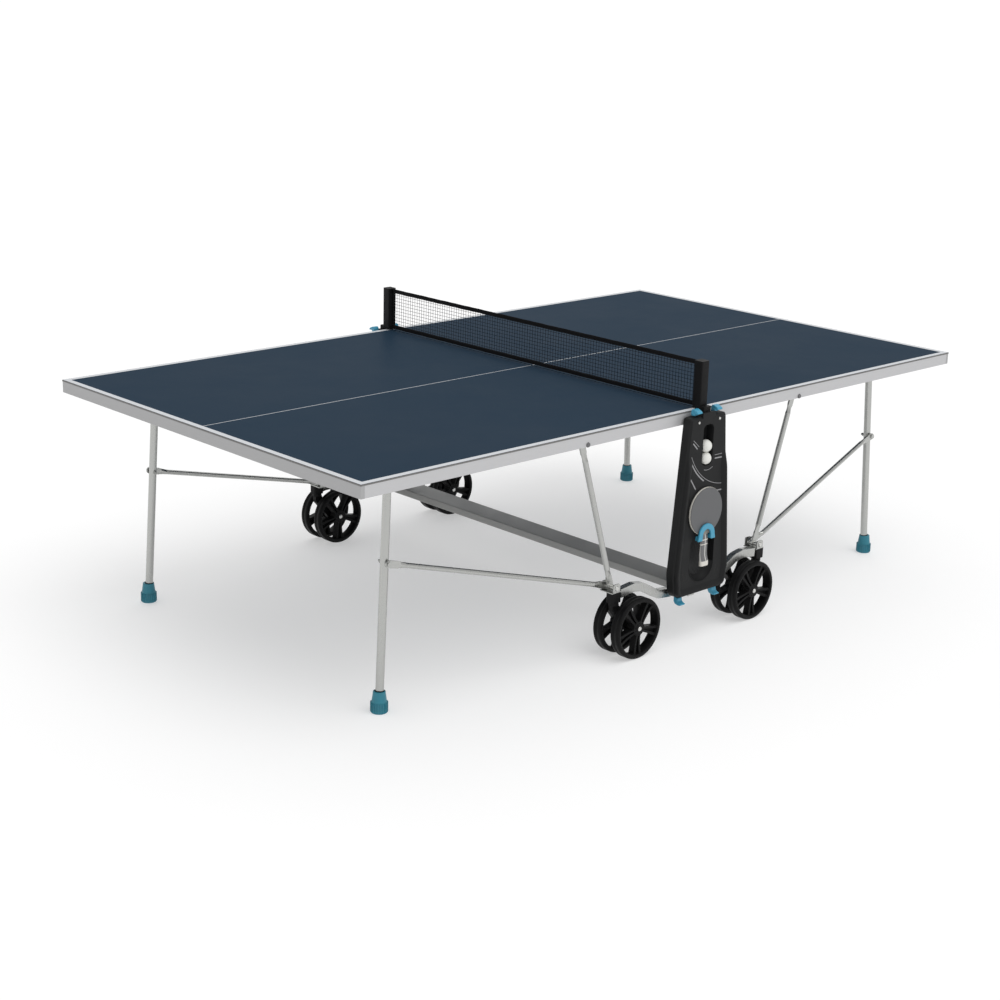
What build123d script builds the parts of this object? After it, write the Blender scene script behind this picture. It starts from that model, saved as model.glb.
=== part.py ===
from build123d import *
import math
import os

# Outdoor table tennis table, millimetres. X runs along the length, Y across, Z up.
# The origin is on the floor under the middle of the net.

# table top
table_length = 2740
table_width = 1525
table_height = 760
net_gap = 8                 # between the two half boards
board_thickness = 5
apron_height = 36
rail_depth = 14
rail_wall = 2
rail_mitre = 36             # bevel at the net end, lets one half swing down past the other
cross_bar_places = (80, 360, 700, 980)
cross_bar_width = 34
cross_bar_height = 18

# fold linkage, side view of the half with positive x
top_pivot = (503, 725)      # strut to side rail
leg_pivot = (1131, 735)     # leg to the underside of the top
link_pivot = (1146.6, 450)  # link to leg
base_pivot = (348, 237)     # strut and link to the chassis
strut_y = 735               # middle of the strut, from the centre line
link_base_y = 719
link_leg_y = 614
strut_radius = 9
link_radius = 8
tube_wall = 1.5
eye_width = 22
eye_thickness = 6
eye_length = 34
eye_taper = 30
bolt_radius = 4
bolt_clearance = 0.3

# legs and feet
leg_radius = 12.5
leg_foot = (1171.3, 604.8)  # x and y of the leg axis on the floor
leg_top_y = 588.5
leg_pivot_radius = 10
bracket_drop = 38
bracket_length = 44
bracket_thickness = 4
bracket_spread = 28         # each plate's distance from the leg's axis
foot_height = 65
foot_bottom_radius = 26
foot_top_radius = 18.5
foot_shoulder = 30

# chassis
arm_y = 750
arm_width = 22
arm_height = 28
arm_path = [(325, 215), (266, 222), (226, 215), (150, 173), (100, 167)]
beam_width = 96
beam_height = 26
beam_top = 183
beam_wall = 2
housing_length = 40
housing_width = 30
housing_bottom = 190
housing_top = 222
bracket_plate = 3
ear_top = 252

# casters
wheel_radius = 100
wheel_width = 35
wheel_pitch = 75
wheel_trail = 68
axle_radius = 5
stem_radius = 6
running_gap = 0.3
fork_width = 28
tread_depth = 15
hub_radius = 18
spoke_count = 5
spoke_width = 28
spoke_web = 8
spoke_rib = 6
# side outline of the fork, outward x and z
fork_outline = [(365, 189), (329, 189), (274, 126), (260, 108), (265, 85), (292, 81), (365, 164)]

# side panels, bats, balls and levers: outward distances start at the panel's back
panel_back = 770
panel_depth = 33
panel_wall = 3.5
panel_rim = 8
panel_chamfer = 7
upright_inner = 764.5
upright_thickness = 5
upright_width = 30
upright_ends = (138, 744)
rim_top = 555
panel_outline = [(-118, 158), (118, 158), (128, 235), (84, 745), (-84, 745), (-128, 235)]
ball_radius = 20
ball_slot = (0, 650, 49, 134)        # centre x, centre z, width, height
bat_pocket = (0, 271, 116, 150)
bat_centre_z = 434
bat_blade_radius = 77
bat_thickness = 5.5
rubber_thickness = 2.2
handle_thickness = 12
handle_bottom = 262
handle_top = 356
clip_arch = (36, 20.5)              # outer and inner radius of the arch over the handle
clip_middle_z = 377
clip_foot_z = 340
clip_thickness = 5
lever_x = 47.5
lever_length = 40
lever_profile = [(776, 748), (776, 766), (782, 770), (803, 764), (806, 752), (800, 748)]
tab_x = 83
tab_length = 30
tab_profile = [(776, 152), (776, 140), (801, 137), (808, 142), (808, 152)]
lever_pivot = (779, 750)
tab_pivot = (779, 150)
pin_radius = 2.5

# net
post_width = 34
post_top = 914
post_outer = 776
post_inner = 742
post_foot_bottom = 722
post_foot_depth = 23
net_half_length = 741
tape_height = 15
net_bottom = 764.5
net_top = 912.5

half_width = table_width / 2
half_length = table_length / 2
net_edge = net_gap / 2
apron_top = table_height - board_thickness
apron_bottom = apron_top - apron_height
rail_middle = (apron_top + apron_bottom) / 2
halves = (("left", -1), ("right", 1))
sides = (("near", -1), ("far", 1))

os.makedirs("parts", exist_ok=True)


def save(piece, name):
    """Label one finished sub-part and write it as its own STEP file."""
    piece.part.label = name
    export_step(piece.part, f"parts/{name}.step")


def side_plane(sy, y):
    """Plane facing out from one long side: local x across, local y up, normal outward."""
    return Plane(origin=(0, sy * y, 0), x_dir=(-sy, 0, 0), z_dir=(0, sy, 0))


def flat_ended_bar(start, end, start_y, end_y, radius, drilled):
    """A tube with a flattened eye at each end; the first `drilled` eyes get a bolt hole."""
    run = Vector(end[0] - start[0], 0, end[1] - start[1]).normalized()
    across = Vector(0, 1, 0).cross(run)
    first = Vector(start[0], start_y, start[1])
    last = Vector(end[0], end_y, end[1])
    ends = ((first, run), (last, run * -1))
    roots = [centre + along * (eye_length + eye_taper) for centre, along in ends]
    tube_run = roots[1] - roots[0]
    with BuildPart() as bar:
        for (centre, along), root in zip(ends, roots):
            eye_end = centre + along * eye_length
            eye = Plane(origin=(centre + eye_end) * 0.5, x_dir=run, z_dir=(0, 1, 0))
            with BuildSketch(eye.offset(-eye_thickness / 2)):
                SlotOverall(eye_length + eye_width, eye_width)
            extrude(amount=eye_thickness)
            with BuildSketch(Plane(origin=eye_end, x_dir=across, z_dir=along)):
                RectangleRounded(eye_width - 1, eye_thickness - 1, 1.5)
            with BuildSketch(Plane(origin=root, x_dir=across, z_dir=along)):
                Circle(radius)
            loft()
            with Locations(root):
                Sphere(radius + 0.3)
        with BuildSketch(Plane(origin=roots[0], x_dir=across, z_dir=tube_run)):
            Circle(radius)
            Circle(radius - tube_wall, mode=Mode.SUBTRACT)
        extrude(amount=tube_run.length)
        for centre, _ in ends[:drilled]:
            with BuildSketch(Plane(origin=centre, x_dir=run, z_dir=(0, 1, 0))):
                Circle(bolt_radius + bolt_clearance)
            extrude(amount=eye_thickness, both=True, mode=Mode.SUBTRACT)
    return bar.part


def cross_bolt(x, z, y_head, y_nut):
    """A bolt along Y with a domed head at y_head and a nut at y_nut."""
    out = math.copysign(1, y_head - y_nut)
    shank = Plane(origin=(x, y_nut, z), x_dir=(1, 0, 0), z_dir=(0, out, 0))
    length = abs(y_head - y_nut)
    with BuildPart() as bolt:
        with BuildSketch(shank):
            Circle(bolt_radius)
        extrude(amount=length)
        with BuildSketch(shank.offset(length)):
            Circle(bolt_radius * 2)
        extrude(amount=3, taper=25)
        with BuildSketch(shank):
            RegularPolygon(bolt_radius * 1.7, 6)
        extrude(amount=5)
    return bolt.part


def collar(x, z, y_start, y_end):
    """A spacer ring around a bolt along Y."""
    with BuildPart() as ring:
        with BuildSketch(Plane(origin=(x, y_start, z), x_dir=(1, 0, 0), z_dir=(0, 1, 0))):
            Circle(bolt_radius + 3.5)
            Circle(bolt_radius, mode=Mode.SUBTRACT)
        extrude(amount=y_end - y_start)
    return ring.part


# the two halves of the top, with the legs and the fold links
for half, sx in halves:
    board_middle = sx * (half_length + net_edge) / 2
    board_length = half_length - net_edge

    with BuildPart() as board:
        with BuildSketch(Plane.XY.offset(apron_top)):
            with Locations((board_middle, 0)):
                Rectangle(board_length, table_width)
        extrude(amount=board_thickness)
        fillet(board.edges().filter_by(Axis.Z), radius=4)
    save(board, f"{half}_board")

    # C-section side rails, open towards the middle of the table
    rail_length = half_length - rail_depth - net_edge - 2
    with BuildPart() as side_rails:
        for _, sy in sides:
            with BuildSketch(Plane.YZ.offset(sx * (net_edge + 2))):
                with Locations((sy * (half_width - rail_depth / 2), rail_middle)):
                    Rectangle(rail_depth, apron_height)
                with Locations((sy * (half_width - rail_depth / 2 - rail_wall), rail_middle)):
                    Rectangle(rail_depth, apron_height - 2 * rail_wall, mode=Mode.SUBTRACT)
            extrude(amount=sx * rail_length)
        with BuildSketch(Plane.XZ):
            Polygon((0, apron_top), (0, apron_bottom - 1), (sx * (net_edge + rail_mitre), apron_bottom - 1),
                    (sx * (net_edge + 2), apron_top), align=None)
        extrude(amount=half_width, both=True, mode=Mode.SUBTRACT)
        with BuildSketch(Plane.XZ):
            with Locations((sx * top_pivot[0], top_pivot[1])):
                Circle(bolt_radius)
        extrude(amount=half_width, both=True, mode=Mode.SUBTRACT)
    save(side_rails, f"{half}_side_rails")

    with BuildPart() as end_rail:
        with Locations((sx * (half_length - rail_depth / 2), 0, rail_middle)):
            Box(rail_depth, table_width, apron_height)
        with Locations((sx * (half_length - rail_depth / 2 - rail_wall), 0, rail_middle)):
            Box(rail_depth, table_width - 2 * rail_depth, apron_height - 2 * rail_wall, mode=Mode.SUBTRACT)
        fillet(end_rail.edges().filter_by(Axis.Z).group_by(Axis.X)[-1 if sx > 0 else 0], radius=3)
    save(end_rail, f"{half}_end_rail")

    # pressed channels under the board, open side down
    bar_length = 2 * (half_width - rail_depth - 0.5)
    with BuildPart() as cross_bars:
        for place in cross_bar_places:
            with Locations((sx * place, 0, apron_top - cross_bar_height / 2)):
                Box(cross_bar_width, bar_length, cross_bar_height)
            with Locations((sx * place, 0, apron_top - cross_bar_height / 2 - rail_wall)):
                Box(cross_bar_width - 2 * rail_wall, bar_length, cross_bar_height, mode=Mode.SUBTRACT)
    save(cross_bars, f"{half}_cross_bars")

    # plates that hold the leg pivot tube, a pair around each leg
    with BuildPart() as leg_brackets:
        for _, sy in sides:
            for spread in (-bracket_spread, bracket_spread):
                with BuildSketch(Plane.XZ.offset(-sy * leg_top_y - spread)):
                    with Locations((sx * leg_pivot[0], apron_top - bracket_drop / 2)):
                        Rectangle(bracket_length, bracket_drop)
                    with Locations((sx * leg_pivot[0], leg_pivot[1])):
                        Circle(leg_pivot_radius + bolt_clearance, mode=Mode.SUBTRACT)
                extrude(amount=bracket_thickness / 2, both=True)
        lower = leg_brackets.edges().filter_by(Axis.Y).group_by(Axis.Z)[0]
        fillet(lower, radius=10)
    save(leg_brackets, f"{half}_leg_brackets")

    pieces = []
    for _, sy in sides:
        x, z = sx * top_pivot[0], top_pivot[1]
        pieces.append(cross_bolt(x, z, sy * (half_width + 0.2), sy * (strut_y - 12)))
        pieces.append(collar(x, z, sy * (strut_y + 3.2), sy * (half_width - rail_depth)))
    with BuildPart() as top_bolts:
        add(pieces)
    save(top_bolts, f"{half}_top_bolts")

    foot_end = (sx * base_pivot[0], base_pivot[1])
    strut_end = (sx * top_pivot[0], top_pivot[1])
    bars = []
    for _, sy in sides:
        bars.append(flat_ended_bar(foot_end, strut_end, sy * strut_y, sy * strut_y, strut_radius, 2))
    with BuildPart() as struts:
        add(bars)
    save(struts, f"{half}_struts")

    # the outer end of each link carries its own bolt, which stops just short of the leg
    link_end = (sx * link_pivot[0], link_pivot[1])
    with BuildPart() as links:
        for _, sy in sides:
            add(flat_ended_bar(foot_end, link_end, sy * link_base_y, sy * link_leg_y, link_radius, 1))
            head = Plane(origin=(sx * link_pivot[0], sy * link_leg_y, link_pivot[1]),
                         x_dir=(1, 0, 0), z_dir=(0, sy, 0))
            with BuildSketch(head):
                Circle(bolt_radius * 2)
            extrude(amount=eye_thickness / 2 + 4)
    save(links, f"{half}_links")

    # legs lean out a little towards the floor
    with BuildPart() as legs:
        for _, sy in sides:
            hip = Vector(sx * leg_pivot[0], sy * leg_top_y, leg_pivot[1])
            ground = Vector(sx * leg_foot[0], sy * leg_foot[1], 0)
            down = (ground - hip).normalized()
            leg_plane = Plane(origin=hip - down * 13, x_dir=(0, 1, 0), z_dir=down)
            with BuildSketch(leg_plane):
                Circle(leg_radius)
                Circle(leg_radius - tube_wall, mode=Mode.SUBTRACT)
            extrude(amount=(ground - hip).length - 1)
            with BuildSketch(Plane.XZ.offset(-sy * leg_top_y)):
                with Locations((sx * leg_pivot[0], leg_pivot[1])):
                    Circle(leg_pivot_radius + 0.05)
            extrude(amount=2 * leg_radius, both=True, mode=Mode.SUBTRACT)
            nut_start = leg_top_y + (leg_pivot[1] - link_pivot[1]) * (leg_foot[1] - leg_top_y) / leg_pivot[1]
            nut = Plane(origin=(sx * link_pivot[0], sy * (nut_start - leg_radius + 0.5), link_pivot[1]),
                        x_dir=(1, 0, 0), z_dir=(0, -sy, 0))
            with BuildSketch(nut):
                RegularPolygon(bolt_radius * 1.7, 6)
            extrude(amount=7)
            with BuildSketch(nut):
                Circle(bolt_radius)
            extrude(amount=12)
    save(legs, f"{half}_legs")

    with BuildPart() as leg_tube:
        with BuildSketch(Plane.XZ):
            with Locations((sx * leg_pivot[0], leg_pivot[1])):
                Circle(leg_pivot_radius)
                Circle(leg_pivot_radius - tube_wall, mode=Mode.SUBTRACT)
        extrude(amount=leg_top_y + 34, both=True)
    save(leg_tube, f"{half}_leg_tube")

    foot_x = sx * (leg_foot[0] - 1)
    with BuildPart() as feet:
        for _, sy in sides:
            with BuildSketch(Plane(origin=(foot_x, sy * leg_foot[1], 0), x_dir=(1, 0, 0), z_dir=(0, -1, 0))):
                with BuildLine():
                    Polyline((0, 0), (0, foot_height), (-foot_top_radius, foot_height),
                             (-foot_bottom_radius + 2.5, foot_shoulder), (-foot_bottom_radius, 4),
                             (-foot_bottom_radius + 3, 0), (0, 0))
                make_face()
            revolve(axis=Axis((foot_x, sy * leg_foot[1], 0), (0, 0, 1)))
            ground = Vector(sx * leg_foot[0], sy * leg_foot[1], 0)
            hip = Vector(sx * leg_pivot[0], sy * leg_top_y, leg_pivot[1])
            up = (hip - ground).normalized()
            with BuildSketch(Plane(origin=ground + up * 13, x_dir=(0, 1, 0), z_dir=up)):
                Circle(leg_radius + 0.1)
            extrude(amount=foot_height, mode=Mode.SUBTRACT)
    save(feet, f"{half}_feet")

# chassis: beam, arms, caster housings and pivot brackets
with BuildPart() as beam:
    with BuildSketch(Plane.XZ):
        with Locations((0, beam_top - beam_height / 2)):
            RectangleRounded(beam_width, beam_height, 4)
            RectangleRounded(beam_width - 2 * beam_wall, beam_height - 2 * beam_wall, 2, mode=Mode.SUBTRACT)
    extrude(amount=arm_y - arm_width / 2, both=True)
save(beam, "cross_beam")

arm_points = arm_path + [(-x, z) for x, z in reversed(arm_path)]
with BuildPart() as arms:
    for _, sy in sides:
        for height, width, mode in ((arm_height, arm_width, Mode.ADD),
                                    (arm_height - 4, arm_width - 4, Mode.SUBTRACT)):
            with BuildSketch(Plane.XZ.offset(-sy * arm_y)):
                with BuildLine():
                    FilletPolyline(*arm_points, radius=38)
                trace(line_width=height)
            extrude(amount=width / 2, both=True, mode=mode)
save(arms, "side_arms")

corners = [(sx * base_pivot[0], sy * arm_y) for _, sx in halves for _, sy in sides]
with BuildPart() as housings:
    for x, y in corners:
        with BuildSketch(Plane.XY.offset(housing_bottom)):
            with Locations((x, y)):
                RectangleRounded(housing_length, housing_width, 6)
                Circle(stem_radius + running_gap, mode=Mode.SUBTRACT)
        extrude(amount=housing_top - housing_bottom)
save(housings, "caster_housings")

bracket_inner = link_base_y - 10
bracket_outer = arm_y + 13
with BuildPart() as brackets:
    for _, sx in halves:
        for _, sy in sides:
            width = bracket_outer - bracket_inner
            middle = sy * (bracket_outer + bracket_inner) / 2
            with Locations((sx * base_pivot[0], middle, housing_top + bracket_plate / 2)):
                Box(housing_length, width, bracket_plate)
            for ear in (bracket_inner + bracket_plate / 2, bracket_outer - bracket_plate / 2):
                with Locations((sx * base_pivot[0], sy * ear, (housing_top + ear_top) / 2)):
                    Box(housing_length - 10, bracket_plate, ear_top - housing_top)
    with BuildSketch(Plane.XZ):
        with Locations(*[(sx * base_pivot[0], base_pivot[1]) for _, sx in halves]):
            Circle(bolt_radius)
    extrude(amount=half_width + 20, both=True, mode=Mode.SUBTRACT)
    fillet(brackets.edges().filter_by(Axis.Y).group_by(Axis.Z)[-1], radius=8)
save(brackets, "pivot_brackets")

pieces = []
for x, y in [(sx * base_pivot[0], sy) for _, sx in halves for _, sy in sides]:
    pieces.append(cross_bolt(x, base_pivot[1], y * (bracket_outer + 0.1), y * (bracket_inner - 6)))
    for start, end in ((link_base_y + 3.2, strut_y - 3.2), (strut_y + 3.2, bracket_outer - 3.2)):
        pieces.append(collar(x, base_pivot[1], y * start, y * end))
with BuildPart() as pivot_bolts:
    add(pieces)
save(pivot_bolts, "pivot_bolts")

with BuildPart() as uprights:
    for _, sy in sides:
        with BuildSketch(side_plane(sy, upright_inner)):
            with Locations((0, sum(upright_ends) / 2)):
                Rectangle(upright_width, upright_ends[1] - upright_ends[0])
        extrude(amount=upright_thickness)
        with BuildSketch(side_plane(sy, arm_y + arm_width / 2)):
            with Locations((0, arm_path[-1][1])):
                Rectangle(upright_width, 24)
        extrude(amount=upright_inner - arm_y - arm_width / 2)
save(uprights, "post_uprights")

# casters: a fork between twin wheels, trailing behind a vertical stem
axle_z = wheel_radius
for half, sx in halves:
    for side, sy in sides:
        stem_x = sx * base_pivot[0]
        axle_x = sx * (base_pivot[0] - wheel_trail)
        caster_y = sy * arm_y

        with BuildPart() as fork:
            with BuildSketch(Plane.XZ.offset(-caster_y - fork_width / 2)):
                Polygon(*[(sx * x, z) for x, z in fork_outline], align=None)
            extrude(amount=fork_width)
            fillet(fork.edges().filter_by(Axis.Y).group_by(Axis.Z)[0], radius=6)
            with BuildSketch(Plane.XZ):
                with Locations((axle_x, axle_z)):
                    Circle(axle_radius)
            extrude(amount=half_width + 60, both=True, mode=Mode.SUBTRACT)
            with BuildSketch(Plane.XY.offset(housing_bottom - 2)):
                with Locations((stem_x, caster_y)):
                    Circle(stem_radius)
            extrude(amount=housing_top - housing_bottom)
            with BuildSketch(Plane(origin=(axle_x, caster_y, axle_z), x_dir=(1, 0, 0), z_dir=(0, 1, 0))):
                Circle(axle_radius)
            extrude(amount=wheel_pitch / 2 + wheel_width / 2 + 1, both=True)
        save(fork, f"caster_{side}_{half}")

        for place, shift in (("inner", -wheel_pitch / 2), ("outer", wheel_pitch / 2)):
            wheel_y = sy * (arm_y + shift)
            hub = Plane(origin=(axle_x, wheel_y, axle_z), x_dir=(1, 0, 0), z_dir=(0, 1, 0))
            with BuildPart() as wheel:
                with BuildSketch(hub):
                    Circle(wheel_radius)
                    Circle(wheel_radius - tread_depth, mode=Mode.SUBTRACT)
                extrude(amount=wheel_width / 2, both=True)
                fillet(wheel.edges().filter_by(GeomType.CIRCLE).sort_by(SortBy.RADIUS)[-2:], radius=6)
                # a thin web with a rib along each edge makes a double spoke
                rib_place = (spoke_width - spoke_rib) / 2
                for width, places, depth in ((spoke_width, [0], spoke_web),
                                             (spoke_rib, [-rib_place, rib_place], 3 * spoke_web)):
                    with BuildSketch(hub):
                        with PolarLocations(wheel_radius * 0.54, spoke_count, start_angle=18):
                            with Locations(*[(0, place_y) for place_y in places]):
                                Rectangle(wheel_radius * 0.7, width)
                        Circle(hub_radius + 7)
                    extrude(amount=depth / 2, both=True)
                with BuildSketch(hub):
                    Circle(hub_radius)
                extrude(amount=wheel_width / 2, both=True)
                with BuildSketch(hub):
                    Circle(axle_radius + running_gap)
                extrude(amount=wheel_width, both=True, mode=Mode.SUBTRACT)
            save(wheel, f"wheel_{side}_{half}_{place}")

# side panels with the ball slot, the bat pocket and the bat clip
with BuildPart() as panels:
    for _, sy in sides:
        back = side_plane(sy, panel_back)
        with BuildSketch(back) as outline:
            Polygon(*panel_outline, align=None)
            low = outline.vertices().group_by(Axis.Y)[0]
            fillet(low, radius=34)
            high = outline.vertices().group_by(Axis.Y)[-1]
            fillet(high, radius=12)
        extrude(amount=panel_depth)
        front = panels.faces().sort_by(Axis.Y)[0 if sy < 0 else -1]
        chamfer(front.edges(), length=panel_chamfer)
        for inset, depth in ((panel_wall, 23), (11, panel_depth - panel_wall)):
            with BuildSketch(back):
                add(outline.sketch_local)
                offset(amount=-inset)
            extrude(amount=depth, mode=Mode.SUBTRACT)
        # raised rim around the lower part, open at the top so that a bat slides out
        with BuildSketch(back.offset(panel_depth - 1)):
            add(offset(outline.sketch_local, amount=-panel_chamfer - 1, mode=Mode.PRIVATE))
            add(offset(outline.sketch_local, amount=-2 * panel_chamfer - 1, mode=Mode.PRIVATE),
                mode=Mode.SUBTRACT)
            with Locations((0, rim_top + 150)):
                Rectangle(300, 300, mode=Mode.SUBTRACT)
        extrude(amount=panel_rim + 1)
        for (x, z, width, height), floor in ((ball_slot, 3), (bat_pocket, 10)):
            with BuildSketch(back):
                with Locations((x, z)):
                    RectangleRounded(width + 7, height + 7, 20)
            extrude(amount=panel_depth - 1)
            with BuildSketch(back.offset(floor)):
                with Locations((x, z)):
                    RectangleRounded(width, height, 18)
            extrude(amount=panel_depth + panel_rim, mode=Mode.SUBTRACT)
        with BuildSketch(back):
            with Locations((0, post_foot_bottom + 22)):
                Rectangle(post_width + 3, 50)
        extrude(amount=panel_depth, mode=Mode.SUBTRACT)
save(panels, "side_panels")

# blue arch over the bat's handle, on two stems that stand on the panel's face
clip_face = panel_depth + 13.5
clip_outer, clip_inner = clip_arch
with BuildPart() as clips:
    for _, sy in sides:
        back = side_plane(sy, panel_back)
        with BuildSketch(back.offset(clip_face)):
            for radius, mode in ((clip_outer, Mode.ADD), (clip_inner, Mode.SUBTRACT)):
                with Locations((0, clip_middle_z)):
                    Circle(radius, mode=mode)
                with Locations((0, (clip_middle_z + clip_foot_z) / 2)):
                    Rectangle(2 * radius, clip_middle_z - clip_foot_z, mode=mode)
                with Locations((0, clip_foot_z - clip_outer)):
                    Rectangle(2 * clip_outer, 2 * clip_outer, mode=Mode.SUBTRACT)
        extrude(amount=clip_thickness)
        with BuildSketch(back.offset(panel_depth)):
            middle = (clip_outer + clip_inner) / 2
            with Locations((-middle, clip_foot_z + 7), (middle, clip_foot_z + 7)):
                Rectangle(clip_outer - clip_inner - 3, 14)
        extrude(amount=clip_face - panel_depth)
save(clips, "bat_clips")

# bats: wooden blade and handle, a rubber on each face of the blade
for side, sy in sides:
    blade_back = panel_depth + 0.8 + rubber_thickness
    with BuildPart() as bat:
        with BuildSketch(side_plane(sy, panel_back + blade_back)):
            with Locations((0, bat_centre_z)):
                Ellipse(bat_blade_radius, bat_blade_radius + 2)
            with Locations((0, (bat_centre_z + handle_bottom) / 2 - 20)):
                Rectangle(26, bat_centre_z - handle_bottom - 40)
        extrude(amount=bat_thickness)
        with BuildSketch(side_plane(sy, panel_back + blade_back - 2)):
            Polygon((-14.5, handle_bottom), (14.5, handle_bottom), (12, handle_top), (-12, handle_top),
                    align=None)
        extrude(amount=handle_thickness)
    save(bat, f"bat_{side}")

    with BuildPart() as rubbers:
        for start in (blade_back - rubber_thickness, blade_back + bat_thickness):
            with BuildSketch(side_plane(sy, panel_back + start)):
                with Locations((0, bat_centre_z)):
                    Ellipse(bat_blade_radius - 0.8, bat_blade_radius + 1.2)
                with Locations((0, bat_centre_z - bat_blade_radius)):
                    Rectangle(120, 26, mode=Mode.SUBTRACT)
            extrude(amount=rubber_thickness)
    save(rubbers, f"bat_{side}_rubbers")

    with BuildPart() as balls:
        for z in (605, 645.2):
            with Locations((0, sy * (panel_back + 3.8 + ball_radius), z)):
                Sphere(ball_radius)
    save(balls, f"balls_{side}")

    # catch lever beside the net post and release tab under the panel, one pair for each half
    for half, sx in halves:
        with BuildPart() as lever:
            with BuildSketch(Plane.YZ.offset(sx * lever_x)):
                Polygon(*[(sy * y, z) for y, z in lever_profile], align=None)
            extrude(amount=lever_length / 2, both=True)
            fillet(lever.edges().filter_by(Axis.X).group_by(Axis.Z)[-1], radius=3)
            with BuildSketch(Plane.YZ.offset(sx * lever_x)):
                with Locations((sy * lever_pivot[0], lever_pivot[1])):
                    Circle(pin_radius)
            extrude(amount=lever_length / 2 + 2, both=True)
        save(lever, f"catch_lever_{side}_{half}")

        with BuildPart() as tab:
            with BuildSketch(Plane.YZ.offset(sx * tab_x)):
                Polygon(*[(sy * y, z) for y, z in tab_profile], align=None)
            extrude(amount=tab_length / 2, both=True)
            fillet(tab.edges().filter_by(Axis.X).group_by(Axis.Z)[0], radius=3)
            with BuildSketch(Plane.YZ.offset(sx * tab_x)):
                with Locations((sy * tab_pivot[0], tab_pivot[1])):
                    Circle(pin_radius)
            extrude(amount=tab_length / 2 + 2, both=True)
        save(tab, f"release_tab_{side}_{half}")

# net posts: a head over the table edge and a foot that drops into the panel's notch
with BuildPart() as posts:
    for _, sy in sides:
        with Locations((0, sy * (post_outer + post_inner) / 2, (post_top + table_height + 3) / 2)):
            Box(post_width, post_outer - post_inner, post_top - table_height - 3)
        with Locations((0, sy * (panel_back + post_foot_depth / 2), post_foot_bottom + 25)):
            Box(post_width, post_foot_depth, 50)
    fillet(posts.edges().filter_by(Axis.Z), radius=4)
save(posts, "net_posts")

with BuildPart() as net:
    with Locations((0, 0, (net_top + net_bottom) / 2)):
        Box(1.5, 2 * net_half_length, net_top - net_bottom - 2 * tape_height)
save(net, "net")

with BuildPart() as tapes:
    for z in (net_bottom + tape_height / 2, net_top - tape_height / 2):
        with Locations((0, 0, z)):
            Box(3, 2 * net_half_length, tape_height)
save(tapes, "net_tapes")
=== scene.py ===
import math
import bmesh
import bpy
from mathutils import Matrix, Vector


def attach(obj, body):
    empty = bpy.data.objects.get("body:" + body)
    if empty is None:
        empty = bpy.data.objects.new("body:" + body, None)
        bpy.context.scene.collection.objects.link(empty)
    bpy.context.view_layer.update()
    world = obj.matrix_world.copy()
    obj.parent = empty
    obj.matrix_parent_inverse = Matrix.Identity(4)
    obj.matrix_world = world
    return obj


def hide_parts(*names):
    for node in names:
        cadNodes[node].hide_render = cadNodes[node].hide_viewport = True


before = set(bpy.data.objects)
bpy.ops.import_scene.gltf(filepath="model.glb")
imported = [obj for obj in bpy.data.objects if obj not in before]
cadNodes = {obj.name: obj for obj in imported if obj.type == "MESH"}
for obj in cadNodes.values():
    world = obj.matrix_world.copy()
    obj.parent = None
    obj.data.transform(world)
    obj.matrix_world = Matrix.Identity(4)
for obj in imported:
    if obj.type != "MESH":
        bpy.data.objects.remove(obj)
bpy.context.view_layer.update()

# Folding table tennis table. Metres: x along the table, y across, z up, the middle of the floor at 0.
scene = bpy.context.scene
halves = (("left", -1), ("right", 1))
sides = (("near", -1), ("far", 1))

# camera and studio
camera = {"place": (-4.36465, -4.44732, 2.16376), "turn": -43.580, "height": 16.870,
          "roll": 1.508, "lens": 66.9}
turn, height, roll = (math.radians(camera[key]) for key in ("turn", "height", "roll"))
back = Vector((math.sin(turn) * math.cos(height), -math.cos(turn) * math.cos(height), math.sin(height)))
right = Vector((math.cos(turn), math.sin(turn), 0))
up = back.cross(right)
rolledRight = right * math.cos(roll) + up * math.sin(roll)
rolledUp = up * math.cos(roll) - right * math.sin(roll)
cameraData = bpy.data.cameras.new("camera")
cameraData.lens = camera["lens"]
cameraData.sensor_width = 36
cameraData.clip_end = 300
cameraObject = bpy.data.objects.new("camera", cameraData)
cameraObject.matrix_world = Matrix.Translation(camera["place"]) @ Matrix(
    (rolledRight, rolledUp, back)).transposed().to_4x4()
scene.collection.objects.link(cameraObject)
scene.camera = cameraObject

studio = {"air": (1.0, 1.0, 1.0), "airStrength": 0.66, "floorColour": (0.60, 0.60, 0.60), "floorSize": 600,
          "floorGlow": 0.42}
lights = {
    "keyLight": {"from": (0.10, -0.80, 1.6), "spread": 55, "power": 1.05},
    "backLight": {"from": (0.9, 0.8, 1.2), "spread": 70, "power": 0.35},
}
scene.view_settings.view_transform = "Standard"
world = bpy.data.worlds.new("studioAir")
world.use_nodes = True
world.node_tree.nodes["Background"].inputs["Color"].default_value = (*studio["air"], 1)
# the air looks white to the camera and lights the table more softly
airTree = world.node_tree
seen = airTree.nodes.new("ShaderNodeLightPath").outputs["Is Camera Ray"]
airMix = airTree.nodes.new("ShaderNodeMapRange")
airMix.inputs["To Min"].default_value = studio["airStrength"]
airMix.inputs["To Max"].default_value = 1.0
airTree.links.new(seen, airMix.inputs["Value"])
airTree.links.new(airMix.outputs[0], airTree.nodes["Background"].inputs["Strength"])
scene.world = world
for name, light in lights.items():
    lightData = bpy.data.lights.new(name, "SUN")
    lightData.angle = math.radians(light["spread"])
    lightData.energy = light["power"]
    lightObject = bpy.data.objects.new(name, lightData)
    lightObject.matrix_world = Vector(light["from"]).to_track_quat("Z", "Y").to_matrix().to_4x4()
    scene.collection.objects.link(lightObject)
print("camera and studio ready")


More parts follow.
